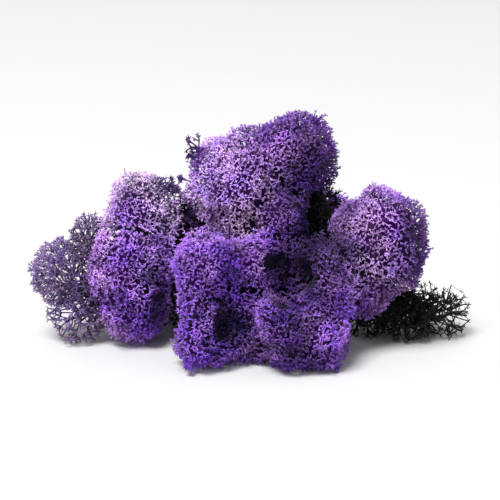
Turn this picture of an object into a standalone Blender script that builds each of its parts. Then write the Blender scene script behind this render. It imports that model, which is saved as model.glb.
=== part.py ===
# A clump of dyed reindeer moss: rounded heads of forked lichen twigs, grown round a knot of old dark stems.
# Metres, +Z up. The clump lies on the surface z = 0. The origin is on the flat underside of the old stems,
# +X is to the right of the clump and -Y is its front.

import math
import random

import bmesh
import bpy
from mathutils import Matrix, Vector, noise

MM = 0.001

# Driving dimensions
CRUST = 5.0 * MM  # depth of the forked twigs that stand out of a large head
CRUST_SHARE = 0.46  # the same on a small head, as a share of its smallest radius
KNOT_CRUST = 3.0 * MM  # and on the old stems
SEAM = 0.34 * MM  # clear gap between neighbouring heads
ROOT_SHARE = 0.3  # how far a head's root lies from its middle towards the old stems, as a share of its radius
STEM_REACH = 6.0 * MM  # how far a head's stem runs past its outline, into the seam with the old stems
STEM_WIDTH = math.radians(20)  # half angle of that stem, seen from the head's root
STEM_FLARE = math.radians(13)  # half angle over which the stem widens into the head
STEEPEST_FOOT = 0.75  # how high a twig's foot may reach up the twig's own height
FINE_RADIUS = 14.0 * MM  # heads from this radius up have more twigs
LUMP_DEPTH = 0.10  # how far an outline swells and shrinks, as a share of its radius
LUMP_SIZE = 8.0 * MM
WALL_GAP = 0.1 * MM  # from a twig to a neighbour's seam or to the surface below
SMALLEST_FOOT = 0.035  # smaller faces of a core stay bare: area over the square of the lobe's smallest radius
SHORTEST_TWIG = 0.8 * MM
SHORTEST_FORK = 2.2 * MM  # shorter twigs have one tip
SHORTEST_LONG_TWIG = 6.0 * MM  # shorter twigs fork once at most
STUB_CRUST = 2.0 * MM  # how far the short twigs at the back of a fan's stub stand out of it
LEAST_RISE = 0.4  # how steeply a branch rises off the face that it grows from: the least sine
HEART = Vector((2, 4, 9)) * MM  # where the old stems come together

# Each kind of twig narrows to a waist and then forks. The waist's height is a share of the twig's, the widths
# are shares of the face that the twig stands on, the notch between its branches is as deep as a share of their
# width, and the spread is how far they lean towards that face's edges.
HEAD_TWIG = {"forks": 1, "waist_height": 0.34, "waist": 0.34, "notch": 0.4, "spread": 0.8}
FAN_TWIG = {"forks": 2, "waist_height": 0.38, "waist": 0.16, "branch": 0.14, "notch": 0.4, "spread": 0.7}

# Each head: its middle and its radii along X, Y and Z, in millimetres.
HEADS = {
    "head_top": ((-1.5, 2, 41), (15, 14.5, 14.5)),
    "head_top_right": ((10.5, 5.5, 48), (13, 12.5, 12)),
    "head_top_low": ((8, -6, 35), (7, 7, 8.5)),
    "head_left_top": ((-29, 1, 35), (9.5, 10, 10.5)),
    "head_left": ((-31.5, -4, 21.5), (11, 12, 13)),
    "head_left_low": ((-30.5, -6, 9), (9, 10, 9.5)),
    "head_front_left": ((-12, -21, 24.5), (9, 10, 10)),
    "head_front_left_low": ((-11, -26, 9), (10, 9.5, 10.5)),
    "head_front_low": ((-2, -21, 9), (7.5, 8, 10)),
    "head_front_middle": ((3, -16, 25.5), (9, 8.5, 7)),
    "head_front_right_inner": ((7, -27, 12), (8.5, 9, 10)),
    "head_front_right_outer": ((18.5, -20, 16.5), (8, 9.5, 12)),
    "head_front_right_low": ((14.5, -27, 8), (11.5, 9.5, 9.5)),
    "head_front_right_back": ((16, -13, 23), (8, 8, 6.5)),
    "head_right": ((34.5, -7, 28), (13.5, 13, 15)),
    "head_right_low": ((30, -10, 17), (8, 7.5, 8.5)),
    "head_back_left": ((-21, 19, 14), (16, 14.5, 14)),
    "head_back": ((-1, 23, 18), (14.5, 13, 15.5)),
    "head_back_right": ((22, 18.5, 19.5), (16, 14.5, 15.5)),
}
# The old stems are one body of three lobes, which overlap deeply.
OLD_STEMS = {
    "knot": ((2, 3, 10.5), (28, 19, 15.5)),
    "knot_right": ((16.5, 7, 27.5), (10, 10, 16)),
    "knot_left": ((-15, 5.5, 22.5), (9.5, 9, 14)),
}
# Open fans of long twigs: the middle and radii of the whole fan, and of the stub that its twigs leave.
FANS = {
    "fan_far_left": (((-46.5, -2, 16.5), (12.5, 11, 17.5)), ((-37.5, 2.5, 10), (6, 6, 7))),
    "fan_right": (((46.5, 1, 6.5), (14, 11, 8)), ((34, 1.5, 7.5), (13.5, 8.5, 8))),
}

DYED = {"color": (0.12, 0.045, 0.28, 1), "roughness": 0.85}
DARK = {"color": (0.018, 0.010, 0.026, 1), "roughness": 0.9}
PALE = {"color": (0.16, 0.10, 0.27, 1), "roughness": 0.85}


def clear_scene():
    for item in list(bpy.data.objects):
        bpy.data.objects.remove(item)


def make_material(name, look):
    material = bpy.data.materials.new(name)
    material.use_nodes = True
    shader = material.node_tree.nodes["Principled BSDF"]
    shader.inputs["Base Color"].default_value = look["color"]
    shader.inputs["Roughness"].default_value = look["roughness"]
    shader.inputs["Metallic"].default_value = 0.0
    return material


def far_side(start, towards, middle, radii):
    """Distance from the start to the far side of an ellipsoid, or 0 where the line misses it."""
    a, b, c = 0.0, 0.0, -1.0
    for k in range(3):
        offset = (start[k] - middle[k]) / radii[k]
        step = towards[k] / radii[k]
        a += step * step
        b += offset * step
        c += offset * offset
    inside = b * b - a * c
    return max(0.0, (math.sqrt(inside) - b) / a) if inside > 0 else 0.0


class Lobe:
    """A rounded mass of lichen. Its twigs spread from a root, out to a lumpy ellipsoid, and walls cut it flat."""

    twig = HEAD_TWIG

    def __init__(self, middle, radii):
        self.middle = Vector(middle) * MM
        self.radii = Vector(radii) * MM
        self.root = self.middle
        self.walls = []

    def outline(self, towards):
        """Distance from the root to the outline that the twig tips reach."""
        smooth = far_side(self.root, towards, self.middle, self.radii)
        lump = noise.noise((self.root + towards * smooth) / LUMP_SIZE)
        return smooth * (1 + LUMP_DEPTH * lump)

    def room(self, point):
        """Distance from the point to the nearest wall, negative past it."""
        return min((point - at).dot(normal) for at, normal in self.walls)

    def reach(self, towards):
        """Distance from the root to the nearest wall in a direction, less a margin."""
        nearest = math.inf
        for at, normal in self.walls:
            slope = towards.dot(normal)
            if slope < 0:
                nearest = min(nearest, ((self.root - at).dot(normal) - 2 * WALL_GAP) / -slope)
        return nearest

    def holds(self, point):
        return (point - self.root).length < self.outline((point - self.root).normalized())

    def held_clear(self, inner, point):
        """The point, drawn back towards an inner one until it is clear of every wall."""
        share = 1.0
        for at, normal in self.walls:
            depth, inner_depth = (point - at).dot(normal), (inner - at).dot(normal)
            if depth < WALL_GAP < inner_depth:
                share = min(share, (inner_depth - WALL_GAP) / (inner_depth - depth))
            elif depth < WALL_GAP:
                share = 0.0
        return inner.lerp(point, share)


class Head(Lobe):
    def __init__(self, middle, radii):
        super().__init__(middle, radii)
        self.inward = (HEART - self.middle).normalized()
        self.root = self.middle + self.inward * min(self.radii) * ROOT_SHARE
        self.crust = min(CRUST, CRUST_SHARE * min(self.radii))
        self.fine = min(self.radii) >= FINE_RADIUS

    def core(self, towards):
        """The solid middle: under the twigs outside, and past the outline where the stems run inwards."""
        off_stem = self.inward.angle(towards) - STEM_WIDTH
        stem_side = min(1, max(0, 1 - off_stem / STEM_FLARE))
        return self.outline(towards) - self.crust * (1 - stem_side) + STEM_REACH * stem_side


class Knot(Lobe):
    crust = KNOT_CRUST
    fine = True

    def core(self, towards):
        return self.outline(towards) - self.crust


class Fan(Lobe):
    crust = CRUST
    fine = False
    twig = FAN_TWIG

    def __init__(self, whole, stub):
        super().__init__(*whole)
        self.root = Vector(stub[0]) * MM
        self.stub_radii = Vector(stub[1]) * MM

    def outline(self, towards):
        return max(super().outline(towards), self.core(towards) + STUB_CRUST)

    def core(self, towards):
        return far_side(self.root, towards, self.root, self.stub_radii)


def stand_walls(nodes):
    """Puts a flat wall between each two lobes of different nodes, and one at the surface that the clump lies on."""
    lobes = [(name, lobe) for name, group in nodes.items() for lobe in group]
    for _, lobe in lobes:
        lobe.walls.append((Vector((0, 0, 0)), Vector((0, 0, 1))))
    for i, (first_name, first) in enumerate(lobes):
        for second_name, second in lobes[i + 1 :]:
            if first_name == second_name:
                continue
            apart = second.root - first.root
            towards = apart.normalized()
            if isinstance(first, Head) and isinstance(second, Head):
                reaches = first.outline(towards), second.outline(-towards)
            else:
                reaches = first.core(towards), second.core(-towards)
            at = first.root + towards * (apart.length + reaches[0] - reaches[1]) / 2
            first.walls.append((at - towards * SEAM / 2, -towards))
            second.walls.append((at + towards * SEAM / 2, towards))


def even_ball(fine, turn):
    """A sphere of even triangles: 80, or 60 in rings of five round 12 points."""
    bm = bmesh.new()
    bmesh.ops.create_icosphere(bm, subdivisions=2 if fine else 1, radius=1, matrix=turn)
    if not fine:
        edges = bm.edges[:]
        bmesh.ops.poke(bm, faces=bm.faces[:])
        bmesh.ops.rotate_edges(bm, edges=edges)
    return bm


def core_mesh(lobe, turn):
    """A ball pushed out to the lobe's core, then cut flat at each wall."""
    bm = even_ball(lobe.fine, turn)
    for vert in bm.verts:
        towards = vert.co.normalized()
        vert.co = lobe.root + towards * lobe.core(towards)
    for at, normal in lobe.walls:
        everything = bm.verts[:] + bm.edges[:] + bm.faces[:]
        cut = bmesh.ops.bisect_plane(bm, geom=everything, plane_co=at, plane_no=normal, clear_inner=True)
        rim = [part for part in cut["geom_cut"] if isinstance(part, bmesh.types.BMEdge)]
        if rim:
            bmesh.ops.holes_fill(bm, edges=rim, sides=0)
    bmesh.ops.dissolve_degenerate(bm, edges=bm.edges[:], dist=0.05 * MM)
    bmesh.ops.triangulate(bm, faces=[face for face in bm.faces if not is_cut(face, lobe)])
    bmesh.ops.recalc_face_normals(bm, faces=bm.faces[:])
    return bm


def is_cut(face, lobe):
    """True where a face lies on a wall."""
    return any(all(abs((vert.co - at).dot(normal)) < 0.01 * MM for vert in face.verts) for at, normal in lobe.walls)


def is_free(face, lobe, joined):
    """True where the core lies open, so that a twig can stand on this face."""
    foot = face.calc_center_median()
    if is_cut(face, lobe) or face.calc_area() < SMALLEST_FOOT * min(lobe.radii) ** 2 or lobe.room(foot) < WALL_GAP:
        return False
    if any(other.holds(foot) for other in joined if other is not lobe):
        return False
    towards = (foot - lobe.root).normalized()
    return lobe.outline(towards) - lobe.core(towards) > SHORTEST_TWIG


class Twig:
    """A forked twig on one face of a core. It grows inside the cone that the lobe's root and the face make, so
    that no twig crosses another. A point in the cone is an aim, which is an offset square to the cone's axis at
    unit distance from the root, and a distance along the axis. Each branch keeps to a third of its parent's cone."""

    def __init__(self, bm, lobe, face, chance):
        self.bm = bm
        self.lobe = lobe
        self.chance = chance
        foot = face.calc_center_median() - lobe.root
        self.axis = foot.normalized()
        self.foot_out = foot.length
        self.tip_out = min(lobe.outline(self.axis) * chance.uniform(0.95, 1.03), lobe.reach(self.axis))

    def at(self, aim, out):
        return self.lobe.root + (self.axis + aim) * out

    def has_room(self, aim, out):
        return self.lobe.room(self.at(aim, out)) > 2 * WALL_GAP

    def mixed(self, aims, first_share):
        """An aim among three others, with the given share of the first and uneven shares of the rest."""
        second_share = (1 - first_share) * self.chance.uniform(0.38, 0.62)
        return aims[0] * first_share + aims[1] * second_share + aims[2] * (1 - first_share - second_share)

    def drawn_in(self, face, aim, middle, out):
        """The aim, or one nearer to the middle, so that a branch to it rises well off its face. None if none does."""
        face.normal_update()
        foot = face.calc_center_median()
        for share in (1, 0.8, 0.6):
            drawn = middle.lerp(aim, share)
            if (self.at(drawn, out) - foot).normalized().dot(face.normal) > LEAST_RISE:
                return drawn
        return None

    def lengthen(self, face, aims, middle, width, out):
        """Draws a face out into a branch with a smaller end, and gives back that end."""
        end = bmesh.ops.extrude_discrete_faces(self.bm, faces=[face])["faces"][0]
        hub = self.lobe.held_clear(self.at(middle, self.foot_out), self.at(middle, out))
        for vert, aim in zip(end.verts, aims):
            vert.co = self.lobe.held_clear(hub, self.at(middle + (aim - middle) * width, out))
        return end

    def raise_from(self, face):
        height = self.tip_out - self.foot_out
        if height < SHORTEST_TWIG:
            return
        aims = [(vert.co - self.lobe.root) / (vert.co - self.lobe.root).dot(self.axis) for vert in face.verts]
        aims = [aim - self.axis for aim in aims]
        middle = self.mixed(aims, self.chance.uniform(0.26, 0.4))
        waist_out = self.foot_out + height * self.lobe.twig["waist_height"]
        foot_top = max((vert.co - self.lobe.root).dot(self.axis) for vert in face.verts)
        if foot_top < self.foot_out + height * STEEPEST_FOOT and self.has_room(middle, waist_out):
            foot = face.calc_center_median()
            waist = self.lengthen(face, aims, middle, self.lobe.twig["waist"], waist_out)
            if height < SHORTEST_FORK:
                tip = bmesh.ops.poke(self.bm, faces=[waist])["verts"][0]
                tip.co = self.lobe.held_clear(tip.co, self.at(middle, self.tip_out))
            else:
                forks = self.lobe.twig["forks"] if height > SHORTEST_LONG_TWIG else 1
                self.fork(waist, foot, aims, middle, waist_out, forks)

    def fork(self, face, foot, aims, middle, out, forks):
        """Splits the end of a branch in three, each a pointed tip or a branch that forks again."""
        aim_of = dict(zip(face.verts, aims))
        poked = bmesh.ops.poke(self.bm, faces=[face])
        crotch = poked["verts"][0]
        depth = self.lobe.twig["notch"] * min((vert.co - crotch.co).length for vert in aim_of)
        crotch.co += (foot - crotch.co).normalized() * depth
        aim_of[crotch] = middle
        next_out = out + (self.tip_out - out) / forks
        for third in poked["faces"]:
            verts = sorted(third.verts, key=lambda vert: vert is not crotch)
            aim = self.mixed([aim_of[vert] for vert in verts], 1 - self.lobe.twig["spread"])
            aim = self.drawn_in(third, aim, middle, next_out)
            if aim is None:
                continue
            inner = third.calc_center_median()
            if forks == 1 or not self.has_room(aim, next_out):
                tip = bmesh.ops.poke(self.bm, faces=[third])["verts"][0]
                tip.co = self.lobe.held_clear(inner, self.at(aim, next_out * self.chance.uniform(0.96, 1.02)))
            else:
                third_aims = [aim_of[vert] for vert in third.verts]
                branch = self.lengthen(third, third_aims, aim, self.lobe.twig["branch"], next_out)
                self.fork(branch, inner, third_aims, aim, next_out, forks - 1)


def grown(lobe, joined, chance):
    """The lobe's core, with a twig on every free face. The joined lobes are the others of its own body."""
    turn = Matrix.Rotation(chance.uniform(0, 6), 4, "Z") @ Matrix.Rotation(chance.uniform(0, 3), 4, "X")
    bm = core_mesh(lobe, turn)
    for face in [face for face in bm.faces if is_free(face, lobe, joined)]:
        Twig(bm, lobe, face, chance).raise_from(face)
    bmesh.ops.triangulate(bm, faces=bm.faces[:])
    bmesh.ops.translate(bm, vec=-lobe.root, verts=bm.verts[:])
    return bm


def add_lobe(name, lobe, joined, material, collection, chance):
    mesh = bpy.data.meshes.new(name)
    bm = grown(lobe, joined, chance)
    bm.to_mesh(mesh)
    bm.free()
    mesh.materials.append(material)
    mesh.shade_smooth()
    mesh.set_sharp_from_angle(angle=math.radians(40))
    item = bpy.data.objects.new(name, mesh)
    item.location = lobe.root
    collection.objects.link(item)
    return item


def add_old_stems(knots, material, clump, chance):
    """The knot of dead stems that every head grows from. A Boolean union joins its lobes."""
    whole = add_lobe("old_stems", knots[0], knots, material, clump, chance)
    lobes = bpy.data.collections.new("old_stem_lobes")
    bpy.context.scene.collection.children.link(lobes)
    for k, knot in enumerate(knots[1:]):
        add_lobe(f"knot_{k}", knot, knots, material, lobes, chance)
    union = whole.modifiers.new("lobes", "BOOLEAN")
    union.operation = "UNION"
    union.operand_type = "COLLECTION"
    union.collection = lobes
    union.solver = "MANIFOLD"
    graph = bpy.context.evaluated_depsgraph_get()
    joined = bpy.data.meshes.new_from_object(whole.evaluated_get(graph))
    whole.modifiers.clear()
    whole.data = joined
    for lobe in list(lobes.objects):
        bpy.data.objects.remove(lobe)
    bpy.data.collections.remove(lobes)


def main():
    clear_scene()
    clump = bpy.data.collections.new("reindeer_moss_clump")
    bpy.context.scene.collection.children.link(clump)
    dyed = make_material("dyed_twigs", DYED)
    pale = make_material("pale_twigs", PALE)
    dark = make_material("old_dark_stems", DARK)
    nodes = {name: [Head(*shape)] for name, shape in HEADS.items()}
    nodes["old_stems"] = [Knot(*shape) for shape in OLD_STEMS.values()]
    nodes.update({name: [Fan(*shape)] for name, shape in FANS.items()})
    stand_walls(nodes)
    for seed, name in enumerate(HEADS, start=10):
        add_lobe(name, nodes[name][0], [], dyed, clump, random.Random(seed))
    for seed, (name, material) in enumerate(zip(FANS, (pale, dark)), start=50):
        add_lobe(name, nodes[name][0], [], material, clump, random.Random(seed))
    add_old_stems(nodes["old_stems"], dark, clump, random.Random(1))


main()
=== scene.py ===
import math

import bmesh
import bpy
import numpy as np
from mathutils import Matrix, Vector, kdtree, noise


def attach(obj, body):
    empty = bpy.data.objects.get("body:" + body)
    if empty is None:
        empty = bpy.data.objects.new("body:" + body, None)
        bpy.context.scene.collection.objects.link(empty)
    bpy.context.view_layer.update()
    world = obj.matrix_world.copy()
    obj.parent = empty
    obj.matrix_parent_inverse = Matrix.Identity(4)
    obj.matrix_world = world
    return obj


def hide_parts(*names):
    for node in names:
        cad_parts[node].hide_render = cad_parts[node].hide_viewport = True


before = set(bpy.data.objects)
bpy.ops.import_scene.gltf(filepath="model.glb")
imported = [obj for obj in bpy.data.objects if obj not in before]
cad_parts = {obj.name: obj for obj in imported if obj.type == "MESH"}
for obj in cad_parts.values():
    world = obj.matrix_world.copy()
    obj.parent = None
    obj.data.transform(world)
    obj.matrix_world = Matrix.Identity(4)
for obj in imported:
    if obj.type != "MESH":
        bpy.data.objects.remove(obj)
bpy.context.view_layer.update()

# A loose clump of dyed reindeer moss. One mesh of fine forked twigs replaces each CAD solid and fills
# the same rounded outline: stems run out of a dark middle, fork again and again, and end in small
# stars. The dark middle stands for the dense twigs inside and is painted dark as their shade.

mm = 0.001

# The outlines are the CAD solids' own: a lumpy ellipsoid round each lobe, cut flat by a wall where
# two lobes meet. Heads also run softly into one another here, and their joint outline swells into
# low bulges and sinks into a few pits.
clumpShape = {
    "lumpDepth": 0.10,  # share of the radius
    "lumpSize": 8 * mm,
    "seam": 0.34 * mm,  # room between two lobes at a wall
    "rootShare": 0.3,  # how far a head's root lies towards the heart, as a share of its least radius
    "heart": (2, 4, 9),  # where the old stems come together, in millimetres
    "crust": 5 * mm,  # depth of the CAD model's twigs over a head's core
    "crustShare": 0.46,  # the same on a small head, as a share of its least radius
    "knotCrust": 3 * mm,  # and on the old stems
    "blend": 2.4 * mm,  # how softly heads run into one another
    "swell": 2.1 * mm,  # height of the lumps on their joint outline
    "blendSteps": 8,  # steps from a lobe's own outline to the joint one
    "leastReach": 0.2 * mm,  # nothing of an outline is nearer to its root
    "leastShare": 0.1,  # and no twig starts at less than this share of the way out
    "freeWall": 0.1 * mm,  # how far inside a free wall its twigs end
    "bareGap": 2.4 * mm,  # a wall further than this from its neighbour is free
    "rim": 1.6 * mm,  # how softly the outline sinks into a pit
    "pitCrust": 0.5,  # how deep the twigs are over a pit's floor, as a share of the depth elsewhere
    # The middles and radii of pits and of bulges, in millimetres. The largest pit is in front,
    # between the middle and the right.
    "pits": (
        ((10.3, -27, 23.3), (6.9, 12, 6.7)),
        ((-4, -35, 13), (5.2, 9.5, 6.5)),
        ((-4.6, -33.4, 20.2), (3.2, 7, 4.8)),
        ((1.3, -35, 4.5), (3, 7, 5)),
        ((-21, -19, 14), (4.8, 10, 8)),
        ((24.5, -13, 22), (2.8, 5, 7)),
        ((-10, 36.5, 13), (6, 7, 6.5)),
        ((12.5, 36.5, 25), (5.5, 8, 7)),
        ((25, 37, 8), (6, 7, 5)),
        ((-33, 31, 7), (6, 6, 5)),
    ),
    "bulges": (
        ((-31, -9, 15), (8, 7, 4)),
        ((-30, -6, 29.5), (8, 6.5, 4)),
        ((-12, -27, 17), (5.5, 5.5, 4)),
        ((-27, 27, 20), (6.5, 6, 6)),
        ((-12, 28, 25), (6, 6, 5)),
        ((6, 32, 13), (6.5, 5.5, 7)),
        ((20, 27, 29), (6, 7, 6)),
        ((33, 24, 14), (7, 6, 6)),
        ((15, 13, 53), (6, 6, 5)),
        ((-9, 12, 46), (6, 6, 6)),
    ),
}
# How points are spread over an outline.
sampling = {
    "surplus": 4,  # how many times too many at first, since steep parts need more
    "cell": 0.87,  # area that a point takes up, in squares of the spacing
    "unevenness": 0.5,  # how far the first points lie off an even pattern
    "closest": 0.75,  # least distance between two that stay, as a share of the spacing
    "jitter": 0.12,  # how far each is then moved, as a share of the spacing
}

# Each head: its middle and its radii in millimetres, then its dye, on some heads partly painted shade.
heads = {
    "head_top": ((-1.5, 2, 41), (15, 14.5, 14.5), "lilac"),
    "head_top_right": ((10.5, 5.5, 48), (13, 12.5, 12), "plum"),
    # head_top_low's shade dye is painted shade under the top head
    "head_top_low": ((8, -6, 35), (7, 7, 8.5), "shade"),
    "head_left_top": ((-29, 1, 35), (9.5, 10, 10.5), "greyed"),
    "head_left": ((-31.5, -4, 21.5), (11, 12, 13), "vivid"),
    "head_left_low": ((-30.5, -6, 9), (9, 10, 9.5), "violet"),
    "head_front_left": ((-12, -21, 24.5), (9, 10, 10), "indigo"),
    # deep, here and on head_front_right_outer and head_front_right_low, is partly the dye and partly
    # painted shade on the low heads
    "head_front_left_low": ((-11, -26, 9), (10, 9.5, 10.5), "deep"),
    "head_front_low": ((-2, -21, 9), (7.5, 8, 10), "deep"),
    "head_front_middle": ((3, -16, 25.5), (9, 8.5, 7), "violet"),
    "head_front_right_inner": ((7, -27, 12), (8.5, 9, 10), "indigo"),
    "head_front_right_outer": ((18.5, -20, 16.5), (8, 9.5, 12), "deep"),
    "head_front_right_low": ((14.5, -27, 8), (11.5, 9.5, 9.5), "deep"),
    # head_front_right_back's dusk dye is painted shade, where the top head shadows it
    "head_front_right_back": ((16, -13, 23), (8, 8, 6.5), "dusk"),
    "head_right": ((34.5, -7, 28), (13.5, 13, 15), "mauve"),
    "head_right_low": ((30, -10, 17), (8, 7.5, 8.5), "plum"),
    "head_back_left": ((-21, 19, 14), (16, 14.5, 14), "violet"),
    "head_back": ((-1, 23, 18), (14.5, 13, 15.5), "plum"),
    "head_back_right": ((22, 18.5, 19.5), (16, 14.5, 15.5), "violet"),
}
# How the dye took, with painted shade: twigs in the creases between heads and twigs sunk below the
# outer outline, as in the pits, are painted dark, and the dye runs from head to head.
dyeingAndShading = {
    "runs": 2.2 * mm,  # how softly one head's dye runs into the next
    "crowding": 2.5 * mm,  # how near a second head makes a crevice
    "creviceShare": 0.24,  # how dark the painted shade in a crevice gets
    "freeDepth": 1.5 * mm,  # painted shade begins on twigs this far below the unpitted outline, as in a pit
    "darkDepth": 5.0 * mm,  # and is full this far in
    "spotEdge": 1.5,  # where a spot's dye ends, in radii, and half a radius in it is full
    # spots of another dye, some of them painted shade: middle and radius in millimetres, then the dye
    "stemSpots": (
        ((-18, 0, 35), 6, "dusk"),
        ((-42, -6, 16), 6, "netted"),
        ((-42.5, -3, 26), 6, "netted"),
        # painted shade: the old stems in the dark hollow between the top and right heads
        ((16, -3, 31), 8, "sooty"),
    ),
    "spots": (
        ((-22, 0, 42), 4.5, "dusk"),
        ((-17, 1, 51), 4, "dusk"),
        ((-18, 0, 35), 3, "inner"),
        ((-2.6, -10.7, 35), 5, "pearl"),
        ((0.5, -8, 53), 4.5, "lilac"),
        ((5, -5, 54), 6, "violet"),
        # painted shade on the top right head's shaded right side
        ((19, -4, 45), 10, "dusk"),
        ((-33, -6, 36), 5, "violet"),
        ((-25.5, -14, 23), 5, "lilac"),
        # painted shade: in the top head's shadow, in the gap between the top and right heads, in the
        # front hollow and on the low front edge
        ((17.5, -15, 29), 7.5, "inner"),
        ((15, -8, 33), 4.5, "inner"),
        ((10, -20, 22), 4.5, "inner"),
        ((13, -35, 8), 8.5, "shade"),
        ((33, -20, 24), 4.5, "lilac"),
        ((21, -33, 12), 6, "violet"),
        ((-13, -35, 11), 5, "violet"),
        ((-4, -29, 26), 5, "deep"),
        # painted shade down the right head's shaded right flank
        ((49, -5, 28), 9, "plum"),
        ((44, -13, 41), 5, "plum"),
        ((45.5, -16, 34), 5.5, "dusk"),
        ((46.5, -15, 27), 6, "dusk"),
        ((45, -14, 20), 5, "dusk"),
        # painted shade on the left heads' shaded lower right and on the front left column's shaded left
        # flank
        ((-22, -12, 8), 6, "dusk"),
        ((-21.5, -22, 14.5), 5, "inner"),
        ((-28, 29, 20), 7, "plum"),
        ((-12, 31, 8), 6, "shade"),
        ((3, 36, 22), 6, "mauve"),
        ((33, 30, 20), 7, "deep"),
        ((18, 31, 31), 5, "lilac"),
        ((12, 33, 8), 7, "dusk"),
        ((13, 17, 50), 6, "violet"),
    ),
}
# The old stems: the middles and radii of three lobes that grow into one.
knots = (
    ((2, 3, 10.5), (28, 19, 15.5)),
    ((16.5, 7, 27.5), (10, 10, 16)),
    ((-15, 5.5, 22.5), (9.5, 9, 14)),
)
crownFoot = (1.5, 1.5, 1.5)  # radii of the foot that a crown's twigs leave, in millimetres
# Each open fan: the middle and radii of its stub, then of each crown of twigs, with the foot that
# the crown grows from. Fronds are dense and nets are open.
fans = {
    "fan_far_left": {
        "stub": ((-37.5, 2.5, 10), (6, 6, 7)),
        "fronds": (
            ((-52.5, -3.5, 19.5), (6.4, 8, 10), (-41, 1, 11)),
            ((-42.5, -1, 27), (6.5, 6.5, 7), (-39, 2, 16)),
        ),
        "nets": (
            ((-46.5, -4, 8), (8.5, 8.5, 8.5), (-39, 1, 8)),
            ((-43, -6, 16), (7, 6, 12), (-38, 0, 9)),
        ),
    },
    "fan_right": {
        "stub": ((34, 1.5, 7.5), (13.5, 8.5, 8)),
        "fronds": (((43, -2, 5.5), (9, 8, 6), (36, 1, 6)),),
        "nets": (
            ((53, 1, 6), (7.5, 8, 6.5), (42, 0, 5)),
            ((46, 2, 10), (7, 7, 4.5), (38, 1, 8)),
        ),
    },
}


def lengths(vectors):
    return np.linalg.norm(vectors, axis=-1, keepdims=True)


def unit(vectors):
    return vectors / np.maximum(lengths(vectors), 1e-12)


def farSide(start, towards, middle, radii):
    # distance from the start to the far side of an ellipsoid, or 0 where it is missed
    offset = (start - middle) / radii
    step = towards / radii
    a = (step * step).sum(-1)
    b = (step * offset).sum(-1)
    inside = b * b - a * ((offset * offset).sum(-1) - 1)
    return np.where(inside > 0, (np.sqrt(np.maximum(inside, 0)) - b) / a, 0).clip(0)


def awayFrom(points, middle, radii):  # about how far points lie outside an ellipsoid
    scaled = (points - middle) / radii
    share = lengths(scaled)[:, 0]
    return share * (share - 1) / np.maximum(lengths(scaled / radii)[:, 0], 1e-9)


def noiseAt(points, size):
    return np.array([noise.noise(Vector(point)) for point in points / size])


def evenDirections(count, random, jitter):
    steps = np.arange(count) + 0.5
    height = 1 - 2 * steps / count
    turn = steps * math.pi * (3 - math.sqrt(5)) + random.uniform(0, 2 * math.pi)
    flat = np.sqrt(1 - height * height)
    towards = np.stack([flat * np.cos(turn), flat * np.sin(turn), height], 1)
    return unit(towards + random.normal(size=(count, 3)) * jitter * math.sqrt(4 * math.pi / count))


def treeOf(points):
    tree = kdtree.KDTree(len(points))
    for index, point in enumerate(points):
        tree.insert(point, index)
    tree.balance()
    return tree


def nearest(points, others):
    tree = treeOf(others)
    found = [tree.find(point) for point in points]
    return np.array([hit[1] for hit in found]), np.array([hit[2] for hit in found])


def thinned(points, spacing, random):  # drops points until none is nearer than the spacing to another
    tree = treeOf(points)
    free = np.ones(len(points), bool)
    kept = []
    for index in random.permutation(len(points)):
        if free[index]:
            kept.append(index)
            for _, near, _ in tree.find_range(points[index], spacing):
                free[near] = False
    return points[np.sort(kept)]


def ellipsoids(shapes):
    return [(np.array(middle) * mm, np.array(radii) * mm) for middle, radii, *_ in shapes]


headShapes = ellipsoids(heads.values())
knotShapes = ellipsoids(knots)
pitShapes = ellipsoids(clumpShape["pits"])
bulgeShapes = ellipsoids(clumpShape["bulges"])


def headSkin(points, pitted=True, depth=0.0):
    # about how far points lie outside the heads' joint outline, or outside that outline sunk by a depth
    blend, rim = clumpShape["blend"], clumpShape["rim"]
    near = [-awayFrom(points, *shape) / blend for shape in headShapes + bulgeShapes]
    total = sum(np.exp(np.minimum(share, 30)) for share in near)  # 30 is deep inside
    lumps = clumpShape["swell"] * noiseAt(points, clumpShape["lumpSize"])
    skin = depth - blend * np.log(total + 1e-12) - lumps
    for pit in pitShapes if pitted else ():
        inPit = clumpShape["pitCrust"] * depth - awayFrom(points, *pit)
        skin = rim * np.logaddexp(skin / rim, inPit / rim)
    return skin


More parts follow.
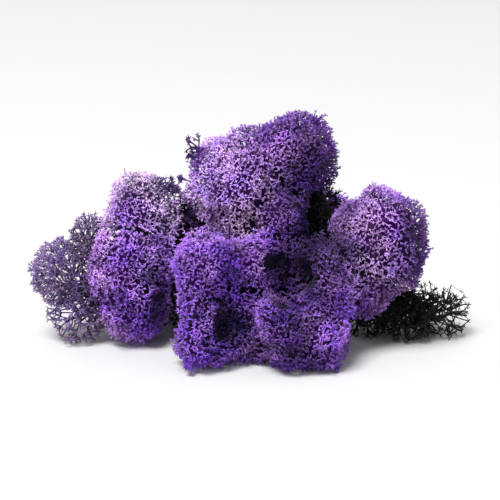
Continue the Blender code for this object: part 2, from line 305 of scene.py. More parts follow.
class Lobe:
    # One rounded mass. Its twigs run out from its root to its outline, and stop at the walls.
    def __init__(self, name, middle, radii, kind, stub=None):
        self.name = name
        self.kind = kind
        self.middle = np.array(middle) * mm
        self.radii = np.array(radii) * mm
        self.least = self.radii.min()
        self.root = self.middle
        self.walls = [(np.zeros(3), np.array((0.0, 0.0, 1.0)))]
        self.crust = clumpShape["knotCrust"]
        if kind == "head":
            inward = unit(np.array(clumpShape["heart"]) * mm - self.middle)
            self.root = self.middle + inward * self.least * clumpShape["rootShare"]
            self.crust = min(clumpShape["crust"], clumpShape["crustShare"] * self.least)
        if kind == "fan":
            self.root = np.array(stub[0]) * mm
            self.stubRadii = np.array(stub[1]) * mm

    def ownOutline(self, towards):
        smooth = farSide(self.root, towards, self.middle, self.radii)
        lump = noiseAt(self.root + towards * smooth[:, None], clumpShape["lumpSize"])
        return smooth * (1 + clumpShape["lumpDepth"] * lump)

    def outline(self, towards, depth=0.0):
        if self.kind == "fan":
            return np.maximum(self.ownOutline(towards), self.core(towards))
        reach = self.ownOutline(towards) - depth
        if self.kind == "head":
            for _ in range(clumpShape["blendSteps"]):  # out, or back in, to the joint outline
                away = headSkin(self.root + towards * reach[:, None], depth=depth)
                reach = np.maximum(reach - away, clumpShape["leastReach"])
        # where a wall stands free of any neighbour, the outline follows the wall
        cut = np.minimum(self.wallReach(towards), 1) - clumpShape["freeWall"]  # 1 m means no wall
        atWall = self.root + towards * cut[:, None]
        apart = np.min([awayFrom(atWall, other.middle, other.radii) for other in self.others], axis=0)
        return np.where((cut < reach) & (apart > clumpShape["bareGap"]), cut, reach)

    def core(self, towards):
        if self.kind == "fan":
            return farSide(self.root, towards, self.root, self.stubRadii)
        return self.ownOutline(towards) - self.crust

    def room(self, points):  # distance to the nearest wall, negative past it
        return np.min([(points - at) @ normal for at, normal in self.walls], axis=0)

    def wallReach(self, towards):  # distance from the root to the nearest wall
        closest = np.full(len(towards), np.inf)
        for at, normal in self.walls:
            slope = towards @ normal
            far = (self.root - at) @ normal / np.maximum(-slope, 1e-9)
            closest = np.where(slope < 0, np.minimum(closest, far), closest)
        return closest

    def outlinePoints(self, spacing, random):  # evenly spread points of the outline
        area = 4 * math.pi * (np.prod(self.radii) ** (2 / 3))
        count = int(sampling["surplus"] * area / (sampling["cell"] * spacing ** 2))
        towards = evenDirections(count, random, sampling["unevenness"])
        smooth = self.middle + towards * farSide(self.middle, towards, self.middle, self.radii)[:, None]
        towards = unit(smooth - self.root)
        points = self.root + towards * self.outline(towards)[:, None]
        points = thinned(points[self.room(points) > -spacing], sampling["closest"] * spacing, random)
        return points + random.normal(size=points.shape) * sampling["jitter"] * spacing

    def placed(self, points, depth=0.0, share=None):
        # the outline's points, sunk by a depth, or in a fan at a share of the way out from its stub
        outward = points - self.root
        reach = lengths(outward)[:, 0]
        towards = outward / reach[:, None]
        if share is not None:
            stub = self.core(towards)
            reach = stub + (reach - stub) * share
        reach = np.maximum(reach - depth, clumpShape["leastShare"] * reach)
        return self.root + towards * reach[:, None]


# What is left out because nothing would show it.
hiding = {
    "looks": 80,  # directions in which a tuft looks for daylight
    "shut": 0.04,  # a tuft with a smaller share of them open doesn't grow
    "stemDepth": 4 * mm,  # how deep in the old stems a head's twigs end
    "crownOverlap": 0.5 * mm,  # how far a fan's twigs may reach into the heads
}


def openShare(points, lobes):  # the share of directions in which no core stands before each point
    towards = evenDirections(hiding["looks"], np.random.default_rng(0), 0)
    blocked = np.zeros((len(points), len(towards)), bool)
    for lobe in lobes:
        blocked |= farSide(points[:, None], towards[None], lobe.middle, lobe.radii - lobe.crust) > 0
    return 1 - blocked.mean(1)


def standWalls(lobes):
    for i, first in enumerate(lobes):
        rest = [other for other in lobes if other.name != first.name]
        first.others = [other for other in rest if other.kind in ("head", first.kind)]
        for second in lobes[i + 1:]:
            if first.name == second.name:
                continue
            apart = second.root - first.root
            towards = unit(apart)
            reach = Lobe.ownOutline if first.kind == second.kind == "head" else Lobe.core
            surplus = reach(first, towards[None])[0] - reach(second, -towards[None])[0]
            at = first.root + towards * (np.linalg.norm(apart) + surplus) / 2
            if first.kind == second.kind:  # a head grows on into the old stems
                first.walls.append((at - towards * clumpShape["seam"] / 2, -towards))
            second.walls.append((at + towards * clumpShape["seam"] / 2, towards))


# Dyes as a display shows them, each the colour of a twig's tip. Inner, dusk, shade and sooty are also
# the colours of painted shade.
dyesAndShades = {
    "pearl": (0.95, 0.80, 1.0),
    "lilac": (0.86, 0.69, 1.0),
    "mauve": (0.79, 0.61, 0.92),
    "vivid": (0.76, 0.55, 0.95),
    "indigo": (0.72, 0.50, 0.97),
    "violet": (0.74, 0.52, 0.94),
    "deep": (0.56, 0.37, 0.81),
    "plum": (0.54, 0.36, 0.72),
    "shade": (0.46, 0.29, 0.67),
    "dusk": (0.34, 0.20, 0.51),
    "inner": (0.17, 0.08, 0.30),
    "greyed": (0.94, 0.82, 1.0),
    "pale": (0.59, 0.49, 0.70),
    "netted": (0.44, 0.35, 0.53),
    "dead": (0.10, 0.07, 0.14),
    "sooty": (0.04, 0.025, 0.07),
    "wiry": (0.08, 0.065, 0.09),
}


def linear(colour):
    return np.array([((c + 0.055) / 1.055) ** 2.4 if c > 0.04045 else c / 12.92 for c in colour])


def spotted(colours, points, spots):
    for place, radius, dyeAndShade in spots:
        away = lengths(points - np.array(place) * mm)
        share = np.clip(dyeingAndShading["spotEdge"] - away / (radius * mm), 0, 1)
        colours = colours + share * (linear(dyesAndShades[dyeAndShade]) - colours)
    return colours


def headDyeAndShade(points):  # the heads' dye at each point, with painted shade in crevices, in pits and at shaded spots
    away = np.stack([np.maximum(awayFrom(points, *shape), 0) for shape in headShapes], 1)
    weights = np.exp(-away / dyeingAndShading["runs"]) + 1e-12
    headColours = np.stack([linear(dyesAndShades[head[2]]) for head in heads.values()])
    colours = weights @ headColours / weights.sum(1, keepdims=True)
    colours = spotted(colours, points, dyeingAndShading["spots"])
    # painted shade in the creases where heads crowd together
    creviceShade = np.clip(np.exp(-away / dyeingAndShading["crowding"]).sum(1) - 1, 0, 1) * dyeingAndShading["creviceShare"]
    free, dark = dyeingAndShading["freeDepth"], dyeingAndShading["darkDepth"]
    # painted shade on twigs sunk below the heads' outline, as in the pits
    sunkShade = (-headSkin(points, pitted=False) - free) / (dark - free)
    share = np.maximum(creviceShade, np.clip(sunkShade, 0, 1))[:, None]
    return colours + share * (linear(dyesAndShades["inner"]) - colours)


# What all twigs share.
twigShape = {
    "tuftReach": 0.62,  # from a tuft's top to the valley round it, as a share of the tufts' spacing
    "deepestValley": 1.3,  # in tuft depths
    "middleValley": 0.5,  # where a twig is neither shaded nor lit by its tuft
    "strayRange": (0.3, 1),  # how far stray twigs stand out, as shares of their full length
    "overTable": 0.3 * mm,  # lower than this no twig ends
    "bend": 0.5,  # how far a twig keeps its parent's heading, as a share of its length
    "grainDrift": 0.16,  # how much a twig's brightness differs from its parent's
    "outward": 0.5,  # how strongly the last twigs' heading turns a star away from straight out
    "rayTurn": 0.3,  # how unevenly a star's rays stand round it
    "rayWaist": 0.8,  # width of a ray's middle, as a share of its foot's
    "middleDetail": 3,  # times that the dark middle's faces are divided
    "middleOverlap": 0.25 * mm,  # how far a dark middle reaches past a wall
}


class Growth:
    # Gathers the twigs of one piece in arrays. Twigs are tubes of a few sides.
    def __init__(self, name, seed):
        self.name = name
        self.random = np.random.default_rng(seed)
        self.points = []
        self.faces = []
        self.tones = []
        self.grainsAndShade = []
        self.count = 0

    def add(self, points, faces, tones, grainsAndShade):
        self.points.append(points)
        self.faces += (faces + self.count).tolist()
        self.tones.append(tones)
        self.grainsAndShade.append(grainsAndShade)
        self.count += len(points)

    def tubes(self, path, widths, tones, grainsAndShade, sides=3, pointed=False, capped=False):
        # path has a row of points for each ring, widths and tones a value for each ring; a width is
        # from the middle to a corner
        rings, count = path.shape[:2]
        path[..., 2] = np.maximum(path[..., 2], np.array(widths)[:, None])  # nothing dips into the table
        along = unit(path[-1] - path[0])
        across = unit(np.cross(along, unit(self.random.normal(size=(count, 3)))))
        upward = np.cross(along, across)
        turn = np.arange(sides) * 2 * math.pi / sides
        rim = np.cos(turn)[:, None, None] * across + np.sin(turn)[:, None, None] * upward
        corners = path[:, None] + np.array(widths)[:, None, None, None] * rim[None]
        corners = corners.reshape(rings * sides, count, 3)
        if pointed:
            corners = np.concatenate([corners[:-sides], path[-1:]])
        each = len(corners)
        start = (np.arange(count) * each)[:, None, None] + self.count
        side = np.arange(sides)
        following = (side + 1) % sides
        for ring in range(rings - 1):
            low = ring * sides
            if pointed and ring == rings - 2:
                wall = [low + side, low + following, np.full(sides, each - 1)]
            else:
                wall = [low + side, low + following, low + following + sides, low + side + sides]
            self.faces += (np.stack(wall, 1)[None] + start).reshape(-1, len(wall)).tolist()
        if capped:
            self.faces += (side[::-1] + start[:, 0]).tolist()
            self.faces += (each - sides + side + start[:, 0]).tolist()
        ringOf = np.minimum(np.arange(each) // sides, rings - 1)
        self.points.append(corners.transpose(1, 0, 2).reshape(-1, 3))
        self.tones.append(np.tile(np.array(tones)[ringOf], count))
        self.grainsAndShade.append(np.repeat(grainsAndShade, each))
        self.count += each * count

    def shadeCore(self, lobe, depth):  # the dark middle, standing for the dense twigs inside and painted dark as their shade, cut off at the walls
        bm = bmesh.new()
        bmesh.ops.create_icosphere(bm, subdivisions=twigShape["middleDetail"], radius=1)
        towards = unit(np.array([vert.co for vert in bm.verts]))
        faces = np.array([[vert.index for vert in face.verts] for face in bm.faces])
        bm.free()
        past = lobe.wallReach(towards) + twigShape["middleOverlap"]
        reach = np.minimum(lobe.outline(towards, depth), past)
        points = lobe.root + towards * reach[:, None]
        points[:, 2] = np.maximum(points[:, 2], 0)
        # painted shade: the middle takes the darkest stem colour, at tone and grain 0
        self.add(points, faces, np.zeros(len(towards)), np.zeros(len(towards)))

    def piece(self, material, dyeAndShade=None):
        points = np.concatenate(self.points)
        mesh = bpy.data.meshes.new(self.name)
        mesh.from_pydata(points, [], self.faces)
        for title, values in (("tone", self.tones), ("grainAndShade", self.grainsAndShade)):
            layer = mesh.attributes.new(title, "FLOAT", "POINT")
            layer.data.foreach_set("value", np.concatenate(values).astype(np.float32))
        colours = np.ones((len(points), 4), np.float32)
        if dyeAndShade:
            colours[:, :3] = spotted(linear(dyesAndShades[dyeAndShade]), points, dyeingAndShading["stemSpots"])
        else:
            colours[:, :3] = headDyeAndShade(points)
        layer = mesh.attributes.new("dyeAndShade", "FLOAT_COLOR", "POINT")
        layer.data.foreach_set("color", colours.ravel())
        mesh.shade_smooth()
        mesh.materials.append(material)
        item = bpy.data.objects.new(self.name, mesh)
        bpy.context.scene.collection.objects.link(item)
        return item


def standing(points, lobe, habit, wallGap, random):  # which of a level's points get a twig
    kept = (lobe.room(points) > wallGap) & (points[:, 2] > twigShape["overTable"])
    if lobe.kind == "head":  # nothing shows deep in the old stems
        inStems = np.min([awayFrom(points, *shape) for shape in knotShapes], axis=0)
        kept &= inStems > -hiding["stemDepth"]
    if lobe.kind == "fan":  # the heads beside it stay free
        kept &= headSkin(points) > -hiding["crownOverlap"]
    if "backShare" in habit:
        behind = points[:, 1] > lobe.middle[1]
        kept &= ~behind | (random.uniform(size=len(points)) < habit["backShare"])
    return kept


def growLobe(growth, lobe, habit):
    # Levels of points lie under the outline, the inmost first. A twig joins each point to the
    # nearest one of the level below it.
    random = growth.random
    tufts = lobe.outlinePoints(habit["tuftSpacing"], random)
    shut = np.zeros(len(tufts), bool)
    if lobe.kind != "fan":
        shut = openShare(tufts, solidLobes) < hiding["shut"]
    below = lobe.placed(lobe.outlinePoints(habit["levels"][0]["spacing"], random), **habit["start"])
    below = below[lobe.room(below) > habit["wallGap"]]
    heading = unit(below - lobe.root)
    belowGrainAndShade = random.uniform(size=len(below))
    for level in habit["levels"]:
        points = lobe.outlinePoints(level["spacing"], random)
        tuft, fromTuft = nearest(points, tufts)
        points, fromTuft = points[~shut[tuft]], fromTuft[~shut[tuft]]
        valley = (fromTuft / (twigShape["tuftReach"] * habit["tuftSpacing"])) ** 2
        valley = np.minimum(valley, twigShape["deepestValley"])
        uneven = random.uniform(-1, 1, size=len(points)) * level["uneven"]
        stray = random.uniform(size=len(points)) < level.get("strays", 0)
        standOut = random.uniform(*twigShape["strayRange"], size=len(points))
        uneven -= stray * standOut * habit["strayLength"]
        depth = level.get("depth", 0) + habit["tuftDepth"] * valley + uneven
        points = lobe.placed(points, depth, level.get("share"))
        kept = standing(points, lobe, habit, level.get("wallGap", habit["wallGap"]), random)
        points, valley = points[kept], valley[kept]
        parent, far = nearest(points, below)
        kept = far < level["longest"]
        points, valley, parent, far = points[kept], valley[kept], parent[kept], far[kept]
        start = below[parent]
        bend = start + heading[parent] * far[:, None] * twigShape["bend"]
        bend += random.normal(size=points.shape) * far[:, None] * level["wander"]
        middle = start * 0.25 + bend * 0.5 + points * 0.25  # halfway along the curve through the bend
        grainAndShade = belowGrainAndShade[parent] + random.normal(size=len(points)) * twigShape["grainDrift"]
        # painted shade: twigs in the valleys between tufts darker; the rest is each twig's own
        # brightness
        grainAndShade = np.clip(grainAndShade - habit["valleyShade"] * (valley - twigShape["middleValley"]), 0, 1)
        path, widths, tones = [start, points], level["width"], level["tone"]
        if not level.get("straight"):
            path = [start, middle, points]
            widths = (widths[0], sum(widths) / 2, widths[1])
            tones = (tones[0], sum(tones) / 2, tones[1])
        growth.tubes(np.stack(path), widths, tones, grainAndShade, level["sides"], capped="core" not in habit)
        below, heading, belowGrainAndShade = points, unit(points - bend), grainAndShade
    outward = unit(heading * twigShape["outward"] + unit(below - lobe.root))
    addStars(growth, below, outward, belowGrainAndShade, habit["star"])
    if "core" in habit:
        growth.shadeCore(lobe, min(habit["core"], habit["coreShare"] * lobe.least))


def addStars(growth, points, outward, grainAndShade, star):
    # a few pointed rays, bent upwards, at every twig's end
    random = growth.random
    side = unit(np.cross(outward, unit(random.normal(size=points.shape))))
    other = np.cross(outward, side)
    rays = random.integers(star["rays"][0], star["rays"][1] + 1, size=len(points))
    for ray in range(star["rays"][1]):
        turn = ray + random.uniform(-twigShape["rayTurn"], twigShape["rayTurn"], size=len(points))
        turn = 2 * math.pi * turn / rays
        sideways = np.cos(turn)[:, None] * side + np.sin(turn)[:, None] * other
        lean = np.radians(random.uniform(*star["lean"], size=len(points)))[:, None]
        curl = lean - np.radians(random.uniform(*star["curl"], size=len(points)))[:, None]
        long = random.uniform(*star["length"], size=len(points))[:, None]
        middle = points + (np.cos(lean) * outward + np.sin(lean) * sideways) * long / 2
        end = middle + (np.cos(curl) * outward + np.sin(curl) * sideways) * long / 2
        path = np.stack([points, middle, end])[:, ray < rays]
        widths = (star["width"], star["width"] * twigShape["rayWaist"], 0)
        growth.tubes(path, widths, star["tone"], grainAndShade[ray < rays], pointed=True)


# The heads: short twigs that fork into a dense, velvety surface, in soft tufts. A level's depth is
# under the outline, and a width goes from a twig's foot to its end, measured from its middle.
headTwigs = {
    "start": {"depth": 5.0 * mm},
    "tuftSpacing": 4.8 * mm,
    "tuftDepth": 1.2 * mm,
    "valleyShade": 0.25,
    "wallGap": 0.0,
    "strayLength": 1.2 * mm,
    "levels": (
        {"depth": 3.2 * mm, "spacing": 3.4 * mm, "uneven": 0.4 * mm, "longest": 6 * mm, "wander": 0.15,
         "width": (0.32 * mm, 0.26 * mm), "tone": (0.0, 0.2), "sides": 3},
        {"depth": 1.6 * mm, "spacing": 1.9 * mm, "uneven": 0.4 * mm, "longest": 4 * mm, "wander": 0.2,
         "width": (0.24 * mm, 0.2 * mm), "tone": (0.2, 0.5), "sides": 3},
        {"depth": 0.5 * mm, "spacing": 1.01 * mm, "uneven": 0.6 * mm, "longest": 3 * mm, "wander": 0.25,
         "width": (0.19 * mm, 0.16 * mm), "tone": (0.45, 0.75), "sides": 3, "strays": 0.06,
         "wallGap": -0.3 * mm, "straight": True},
    ),
    "star": {"rays": (3, 4), "lean": (30, 80), "curl": (0, 50), "length": (0.45 * mm, 0.9 * mm),
             "width": 0.155 * mm, "tone": (0.8, 0.92, 1.0)},
    "core": 3.6 * mm,  # the depth of the dark middle, and its limit as a share of the least radius
    "coreShare": 0.37,
}
# The far left fan's dense crowns. In a fan, a level's share is of the way out from the stub.
frondTwigs = {
    "start": {"share": 0.0},
    "tuftSpacing": 4.5 * mm,
    "tuftDepth": 1.2 * mm,
    "valleyShade": 0.25,
    "wallGap": 0.2 * mm,
    "strayLength": 1.5 * mm,
    "backShare": 0.85,  # of the twigs behind, so that light falls through
    "levels": (
        {"share": 0.3, "spacing": 5 * mm, "uneven": 0.4 * mm, "longest": 9 * mm, "wander": 0.15,
         "width": (0.45 * mm, 0.36 * mm), "tone": (0.1, 0.2), "sides": 4},
        {"share": 0.55, "spacing": 3.4 * mm, "uneven": 0.6 * mm, "longest": 8 * mm, "wander": 0.15,
         "width": (0.34 * mm, 0.28 * mm), "tone": (0.2, 0.35), "sides": 4},
        {"share": 0.8, "spacing": 2.1 * mm, "uneven": 0.6 * mm, "longest": 6 * mm, "wander": 0.2,
         "width": (0.26 * mm, 0.22 * mm), "tone": (0.35, 0.5), "sides": 3},
        {"share": 0.96, "spacing": 1.3 * mm, "uneven": 0.5 * mm, "longest": 4 * mm, "wander": 0.2,
         "width": (0.2 * mm, 0.17 * mm), "tone": (0.5, 0.65), "sides": 3, "strays": 0.1},
    ),
    "star": {"rays": (3, 4), "lean": (30, 80), "curl": (0, 50), "length": (0.7 * mm, 1.3 * mm),
             "width": 0.16 * mm, "tone": (0.65, 0.8, 1.0)},
}
# Its net of dark twigs, one layer deep.
netTwigs = {
    "start": {"share": 0.0},
    "tuftSpacing": 6 * mm,
    "tuftDepth": 1.0 * mm,
    "valleyShade": 0.2,
    "wallGap": 0.2 * mm,
    "strayLength": 1.5 * mm,
    "backShare": 0.15,
    "levels": (
        {"share": 0.35, "spacing": 5 * mm, "uneven": 0.5 * mm, "longest": 12 * mm, "wander": 0.2,
         "width": (0.42 * mm, 0.34 * mm), "tone": (0.1, 0.2), "sides": 4},
        {"share": 0.6, "spacing": 3.6 * mm, "uneven": 0.8 * mm, "longest": 9 * mm, "wander": 0.25,
         "width": (0.34 * mm, 0.28 * mm), "tone": (0.15, 0.3), "sides": 4},
        {"share": 0.8, "spacing": 2.6 * mm, "uneven": 0.8 * mm, "longest": 8 * mm, "wander": 0.3,
         "width": (0.28 * mm, 0.24 * mm), "tone": (0.2, 0.4), "sides": 3},
        {"share": 0.97, "spacing": 2.1 * mm, "uneven": 0.6 * mm, "longest": 6 * mm, "wander": 0.35,
         "width": (0.27 * mm, 0.24 * mm), "tone": (0.3, 0.6), "sides": 3, "strays": 0.1},
    ),
    "star": {"rays": (3, 4), "lean": (55, 95), "curl": (-10, 50), "length": (1.0 * mm, 1.7 * mm),
             "width": 0.2 * mm, "tone": (0.5, 0.7, 1.0)},
}
# The right fan's wiry dead twigs, dense near the clump and sparse outside.
wireTwigs = {
    "start": {"share": 0.0},
    "tuftSpacing": 5 * mm,
    "tuftDepth": 1.5 * mm,
    "valleyShade": 0.2,
    "wallGap": 0.2 * mm,
    "strayLength": 2 * mm,
    "levels": (
        {"share": 0.4, "spacing": 4.5 * mm, "uneven": 0.6 * mm, "longest": 10 * mm, "wander": 0.25,
         "width": (0.4 * mm, 0.32 * mm), "tone": (0.2, 0.3), "sides": 4},
        {"share": 0.7, "spacing": 2.6 * mm, "uneven": 1.2 * mm, "longest": 8 * mm, "wander": 0.4,
         "width": (0.3 * mm, 0.24 * mm), "tone": (0.3, 0.6), "sides": 3},
        {"share": 0.95, "spacing": 1.6 * mm, "uneven": 1.2 * mm, "longest": 6 * mm, "wander": 0.45,
         "width": (0.22 * mm, 0.18 * mm), "tone": (0.6, 0.8), "sides": 3, "strays": 0.2},
    ),
    "star": {"rays": (3, 4), "lean": (30, 95), "curl": (-30, 60), "length": (0.8 * mm, 1.5 * mm),
             "width": 0.16 * mm, "tone": (0.8, 0.9, 1.0)},
}
sparseWire = wireTwigs | {
    "backShare": 0.8,
    "levels": (
        {"share": 0.35, "spacing": 4.5 * mm, "uneven": 0.6 * mm, "longest": 9 * mm, "wander": 0.25,
         "width": (0.4 * mm, 0.32 * mm), "tone": (0.2, 0.3), "sides": 4},
        {"share": 0.65, "spacing": 3.0 * mm, "uneven": 1.2 * mm, "longest": 9 * mm, "wander": 0.35,
         "width": (0.3 * mm, 0.24 * mm), "tone": (0.3, 0.6), "sides": 3},
        {"share": 0.93, "spacing": 2.1 * mm, "uneven": 1.5 * mm, "longest": 8 * mm, "wander": 0.5,
         "width": (0.24 * mm, 0.18 * mm), "tone": (0.6, 0.8), "sides": 3, "strays": 0.25},
    ),
}
# The old stems between the heads, and the fans' stubs.
oldStems = {
    "start": {"depth": 5.0 * mm},
    "tuftSpacing": 6 * mm,
    "tuftDepth": 1.2 * mm,
    "valleyShade": 0.2,
    "wallGap": 0.2 * mm,
    "strayLength": 1.5 * mm,
    "levels": (
        {"depth": 3.4 * mm, "spacing": 4 * mm, "uneven": 0.8 * mm, "longest": 8 * mm, "wander": 0.3,
         "width": (0.45 * mm, 0.36 * mm), "tone": (0.1, 0.3), "sides": 4},
        {"depth": 1.8 * mm, "spacing": 2.8 * mm, "uneven": 0.9 * mm, "longest": 7 * mm, "wander": 0.35,
         "width": (0.32 * mm, 0.26 * mm), "tone": (0.3, 0.5), "sides": 3},
        {"depth": 0.5 * mm, "spacing": 2.0 * mm, "uneven": 0.9 * mm, "longest": 6 * mm, "wander": 0.35,
         "width": (0.25 * mm, 0.2 * mm), "tone": (0.5, 0.7), "sides": 3, "strays": 0.15},
    ),
    "star": {"rays": (2, 4), "lean": (30, 80), "curl": (-10, 50), "length": (0.8 * mm, 1.5 * mm),
             "width": 0.16 * mm, "tone": (0.7, 0.8, 1.0)},
    "core": 4.6 * mm,
    "coreShare": 0.8,
}
# Loose twigs that stick out: the head, the start, the heading, the reach and the tone of the dye.
# Starts and reaches are in millimetres.
sprigs = {
    "places": (
        ("head_top", (-12.5, 1, 48.5), (-0.25, 0, 1), 8, 0.1),
        ("head_top", (-13.5, 1, 47), (-0.3, 0, 1), 5.5, 0.15),
        ("head_top", (-13, 0, 47), (-0.8, 0, 1), 5.5, 0.2),
        ("head_top", (-14, 1, 34), (-1, 0, -0.2), 5, 0.2),
        ("head_top", (-14, 2, 31), (-1, 0, 0.2), 5, 0.2),
        ("head_top", (-15.5, 1, 42.5), (-1, 0, 0.3), 4, 0.25),
        ("head_top", (-15, 0, 38), (-1, 0, 0), 4, 0.25),
        ("head_left_top", (-22, 0, 40), (0.4, 0, 1), 5, 0.3),
        ("head_left_top", (-20.5, -1, 36), (1, 0, 0.6), 5, 0.2),
        ("head_left_top", (-20.5, 0, 32), (1, 0, 0.4), 4, 0.2),
        ("head_left_top", (-21, 1, 34), (1, 0, 0.1), 5, 0.2),
        ("head_front_left_low", (-14, -32, 4), (-0.3, -0.6, -0.3), 4, 0.6),
        ("head_front_right_low", (20, -31, 3), (0.6, -0.5, -0.2), 4, 0.6),
    ),
    "forks": (0.4, 0.3, 0.2),  # each fork's share of the reach
    "branches": 3,
    "spread": 0.6,  # how far apart the branches of a fork head
    "wander": 0.25,
    "width": 0.34 * mm,
    "thinning": 0.8,  # width of a branch as a share of its parent's
    "waist": 0.9,
    "sides": 4,
    "star": {"rays": (2, 4), "lean": (20, 75), "curl": (0, 40), "length": (0.7 * mm, 1.2 * mm),
             "width": 0.16 * mm},
}


def addSprig(growth, start, heading, reach, tone):
    random = growth.random
    base = np.array([start]) * mm
    heading = unit(np.array([heading], dtype=float))
    for fork, share in enumerate(sprigs["forks"]):
        long = reach * mm * share
        bend = base + heading * long / 2
        heading = unit(heading + random.normal(size=heading.shape) * sprigs["wander"])
        end = bend + heading * long / 2
        wide = sprigs["width"] * sprigs["thinning"] ** fork
        widths = (wide, wide * sprigs["waist"], wide * sprigs["thinning"])
        growth.tubes(np.stack([base, bend, end]), widths, (tone, tone, tone),
                     random.uniform(size=len(base)), sprigs["sides"], capped=True)
        base = np.repeat(end, sprigs["branches"], axis=0)
        heading = np.repeat(heading, sprigs["branches"], axis=0)
        heading = unit(heading + random.normal(size=base.shape) * sprigs["spread"])
    star = sprigs["star"] | {"tone": (tone, tone, tone)}
    addStars(growth, base, heading, random.uniform(size=len(base)), star)


# The lichen's surface, the same on all pieces but for the dye and painted shade that they carry. It
# paints shade on the stems and highlights on the tips.
lichenLook = {
    "stemShade": 0.34,  # painted shade: how bright a twig's stem, deep in the clump, is beside its tip
    "stemRichness": 1.5,  # and how rich its colour there, painted as in the shade among the twigs
    "patchSize": 9 * mm,  # patches that drift in hue
    "patchSpan": (0.35, 0.65),  # the noise's values from which a drift begins and at which it is full
    "hueDrift": 0.018,
    "richnessDrift": 0.14,
    "tipTone": 0.8,  # the tone from which the painted highlight on a tip begins
    "tipHighlight": 1.2,  # painted highlight: how much brighter the very tips are
    "grainRange": (0.62, 1.28),  # brightness of the darkest and the brightest twig, from its own tone and the painted valley shade
    "speckSize": 0.5 * mm,
    "speckSpan": (0.3, 0.7),
    "speckRange": (0.86, 1.12),  # brightness of the specks
    "bumpSize": 0.22 * mm,
    "bumpHeight": 0.06 * mm,
    "bumpStrength": 0.6,
    "roughness": (0.68, 0.95),
    "sheen": 0.1,
    "specular": 0.15,
}


def lichenMaterial(name):
    material = bpy.data.materials.new(name)
    material.use_nodes = True
    nodes, links = material.node_tree.nodes, material.node_tree.links
    shader = nodes["Principled BSDF"]
    place = nodes.new("ShaderNodeTexCoord")

    def attribute(title, output):
        node = nodes.new("ShaderNodeAttribute")
        node.attribute_name = title
        return node.outputs[output]

    def speckled(size):
        node = nodes.new("ShaderNodeTexNoise")
        node.inputs["Scale"].default_value = 1 / size
        links.new(place.outputs["Object"], node.inputs["Vector"])
        return node.outputs["Fac"]

    def mapped(value, low, high, fromLow=0.0, fromHigh=1.0):
        node = nodes.new("ShaderNodeMapRange")
        node.inputs["From Min"].default_value = fromLow
        node.inputs["From Max"].default_value = fromHigh
        node.inputs["To Min"].default_value = low
        node.inputs["To Max"].default_value = high
        links.new(value, node.inputs["Value"])
        return node.outputs["Result"]

    def tinted(colour, hue=None, richness=None, value=None, fixed=(1, 1)):
        node = nodes.new("ShaderNodeHueSaturation")
        node.inputs["Saturation"].default_value, node.inputs["Value"].default_value = fixed
        links.new(colour, node.inputs["Color"])
        for title, source in (("Hue", hue), ("Saturation", richness), ("Value", value)):
            if source:
                links.new(source, node.inputs[title])
        return node.outputs["Color"]

    patch = speckled(lichenLook["patchSize"])
    low, high = lichenLook["patchSpan"]
    drift = lichenLook["hueDrift"]
    hue = mapped(patch, 0.5 - drift, 0.5 + drift, low, high)
    drift = lichenLook["richnessDrift"]
    richness = mapped(patch, 1 - drift, 1 + drift, high, low)  # the pinker, the paler
    dyeAndShade = tinted(attribute("dyeAndShade", "Color"), hue=hue, richness=richness)
    # painted shade: stems, deeper in the clump, darker and richer than the tips
    shadedStem = tinted(dyeAndShade, fixed=(lichenLook["stemRichness"], lichenLook["stemShade"]))
    colour = nodes.new("ShaderNodeMix")
    colour.data_type = "RGBA"
    links.new(attribute("tone", "Fac"), colour.inputs["Factor"])
    links.new(shadedStem, colour.inputs["A"])
    links.new(dyeAndShade, colour.inputs["B"])
    # painted highlight on the twigs' very tips
    highlight = mapped(attribute("tone", "Fac"), 1, lichenLook["tipHighlight"], lichenLook["tipTone"], 1)
    highlighted = tinted(colour.outputs["Result"], value=highlight)
    grained = tinted(highlighted, value=mapped(attribute("grainAndShade", "Fac"), *lichenLook["grainRange"]))
    speck = speckled(lichenLook["speckSize"])
    specks = mapped(speck, *lichenLook["speckRange"], *lichenLook["speckSpan"])
    links.new(tinted(grained, value=specks), shader.inputs["Base Color"])
    matte = mapped(speck, *lichenLook["roughness"], *lichenLook["speckSpan"])
    links.new(matte, shader.inputs["Roughness"])
    bump = nodes.new("ShaderNodeBump")
    bump.inputs["Distance"].default_value = lichenLook["bumpHeight"]
    bump.inputs["Strength"].default_value = lichenLook["bumpStrength"]
    links.new(speckled(lichenLook["bumpSize"]), bump.inputs["Height"])
    links.new(bump.outputs["Normal"], shader.inputs["Normal"])
    shader.inputs["Sheen Weight"].default_value = lichenLook["sheen"]
    shader.inputs["Specular IOR Level"].default_value = lichenLook["specular"]
    return material


def dress(growth, node, material, dyeAndShade=None):
    item = growth.piece(material, dyeAndShade)
    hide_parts(node)
    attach(item, "root")
    print(f"{growth.name}: {sum(len(face) - 2 for face in growth.faces)} triangles")


def growFan(growth, name, frondHabit, netHabit):
    growLobe(growth, stubLobes[name], oldStems)
    for crowns, habit in ((fans[name]["fronds"], frondHabit), (fans[name]["nets"], netHabit)):
        for middle, radii, foot in crowns:
            growLobe(growth, Lobe(name, middle, radii, "fan", (foot, crownFoot)), habit)


# Each piece's random draws. The heads count up from theirs.
seeds = {"heads": 0, "oldStems": 30, "leftFan": 40, "rightFan": 41}
headLobes = {name: Lobe(name, *shape[:2], "head") for name, shape in heads.items()}
knotLobes = [Lobe("old_stems", *shape, "knot") for shape in knots]
stubLobes = {name: Lobe(name, *shape["stub"], "knot") for name, shape in fans.items()}
solidLobes = [*headLobes.values(), *knotLobes, *stubLobes.values()]
standWalls(solidLobes)

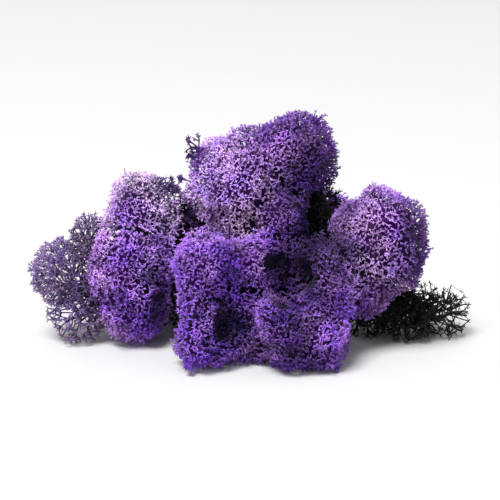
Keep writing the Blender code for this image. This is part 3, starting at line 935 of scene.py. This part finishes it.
print("growing the heads")
dyedTwigs = lichenMaterial("dyedTwigs")
for seed, (name, lobe) in enumerate(headLobes.items(), seeds["heads"]):
    growth = Growth(f"{name}_twigs", seed)
    growLobe(growth, lobe, headTwigs)
    for head, *sprig in sprigs["places"]:
        if head == name:
            addSprig(growth, *sprig)
    dress(growth, name, dyedTwigs)

print("growing the old stems")
deadStems = lichenMaterial("deadStems")
growth = Growth("old_stem_tangle", seeds["oldStems"])
for lobe in knotLobes:
    growLobe(growth, lobe, oldStems)
dress(growth, "old_stems", deadStems, "dead")

print("growing the fans")
growth = Growth("far_left_fan", seeds["leftFan"])
growFan(growth, "fan_far_left", frondTwigs, netTwigs)
dress(growth, "fan_far_left", lichenMaterial("paleTwigs"), "pale")
growth = Growth("right_fan", seeds["rightFan"])
growFan(growth, "fan_right", wireTwigs, sparseWire)
dress(growth, "fan_right", deadStems, "wiry")

print("lighting the table")
studio = {
    "tableColour": (0.71, 0.71, 0.71, 1),
    "tableRoughness": (0.55, 0.7),
    "fibreScale": 400,
    "tableHalf": 3,  # half the table's side, in metres
    "skyColour": (1, 1, 1, 1),
    "skyStrength": 0.5,
    "lightPlace": (-0.9, -1.3, 3.0),  # high in front, to the left
    "lightSide": 1.4,
    "lightPower": 142,  # watts
    "lens": 135,
    "filmWidth": 36,
    "seenWidth": 134 * mm,  # width of the picture at the clump
    "aim": (0, 0, 24 * mm),
    "elevation": 15,  # degrees that the camera looks down by
}
half = studio["tableHalf"]
tableMesh = bpy.data.meshes.new("table")
corners = [(-half, -half, 0), (half, -half, 0), (half, half, 0), (-half, half, 0)]
tableMesh.from_pydata(corners, [], [(0, 1, 2, 3)])
table = bpy.data.objects.new("table", tableMesh)
bpy.context.scene.collection.objects.link(table)
paper = bpy.data.materials.new("palePaper")
paper.use_nodes = True
shader = paper.node_tree.nodes["Principled BSDF"]
shader.inputs["Base Color"].default_value = studio["tableColour"]
fibres = paper.node_tree.nodes.new("ShaderNodeTexNoise")
fibres.inputs["Scale"].default_value = studio["fibreScale"]
matte = paper.node_tree.nodes.new("ShaderNodeMapRange")
matte.inputs["To Min"].default_value, matte.inputs["To Max"].default_value = studio["tableRoughness"]
paper.node_tree.links.new(fibres.outputs["Fac"], matte.inputs["Value"])
paper.node_tree.links.new(matte.outputs["Result"], shader.inputs["Roughness"])
tableMesh.materials.append(paper)

world = bpy.data.worlds.new("studio")
world.use_nodes = True
sky = world.node_tree.nodes["Background"]
sky.inputs["Color"].default_value = studio["skyColour"]
sky.inputs["Strength"].default_value = studio["skyStrength"]
bpy.context.scene.world = world
bpy.context.scene.view_settings.view_transform = "Standard"

light = bpy.data.lights.new("softLight", "AREA")
light.size = studio["lightSide"]
light.energy = studio["lightPower"]
lamp = bpy.data.objects.new("softLight", light)
lamp.location = studio["lightPlace"]
lamp.rotation_euler = (Vector(studio["aim"]) - lamp.location).to_track_quat("-Z", "Y").to_euler()
bpy.context.scene.collection.objects.link(lamp)

cameraData = bpy.data.cameras.new("camera")
cameraData.lens = studio["lens"]
camera = bpy.data.objects.new("camera", cameraData)
elevation = math.radians(studio["elevation"])
distance = studio["seenWidth"] * studio["lens"] / studio["filmWidth"]
away = Vector((0, -math.cos(elevation), math.sin(elevation)))
camera.location = Vector(studio["aim"]) + away * distance
camera.rotation_euler = (math.radians(90) - elevation, 0, 0)
bpy.context.scene.collection.objects.link(camera)
bpy.context.scene.camera = camera
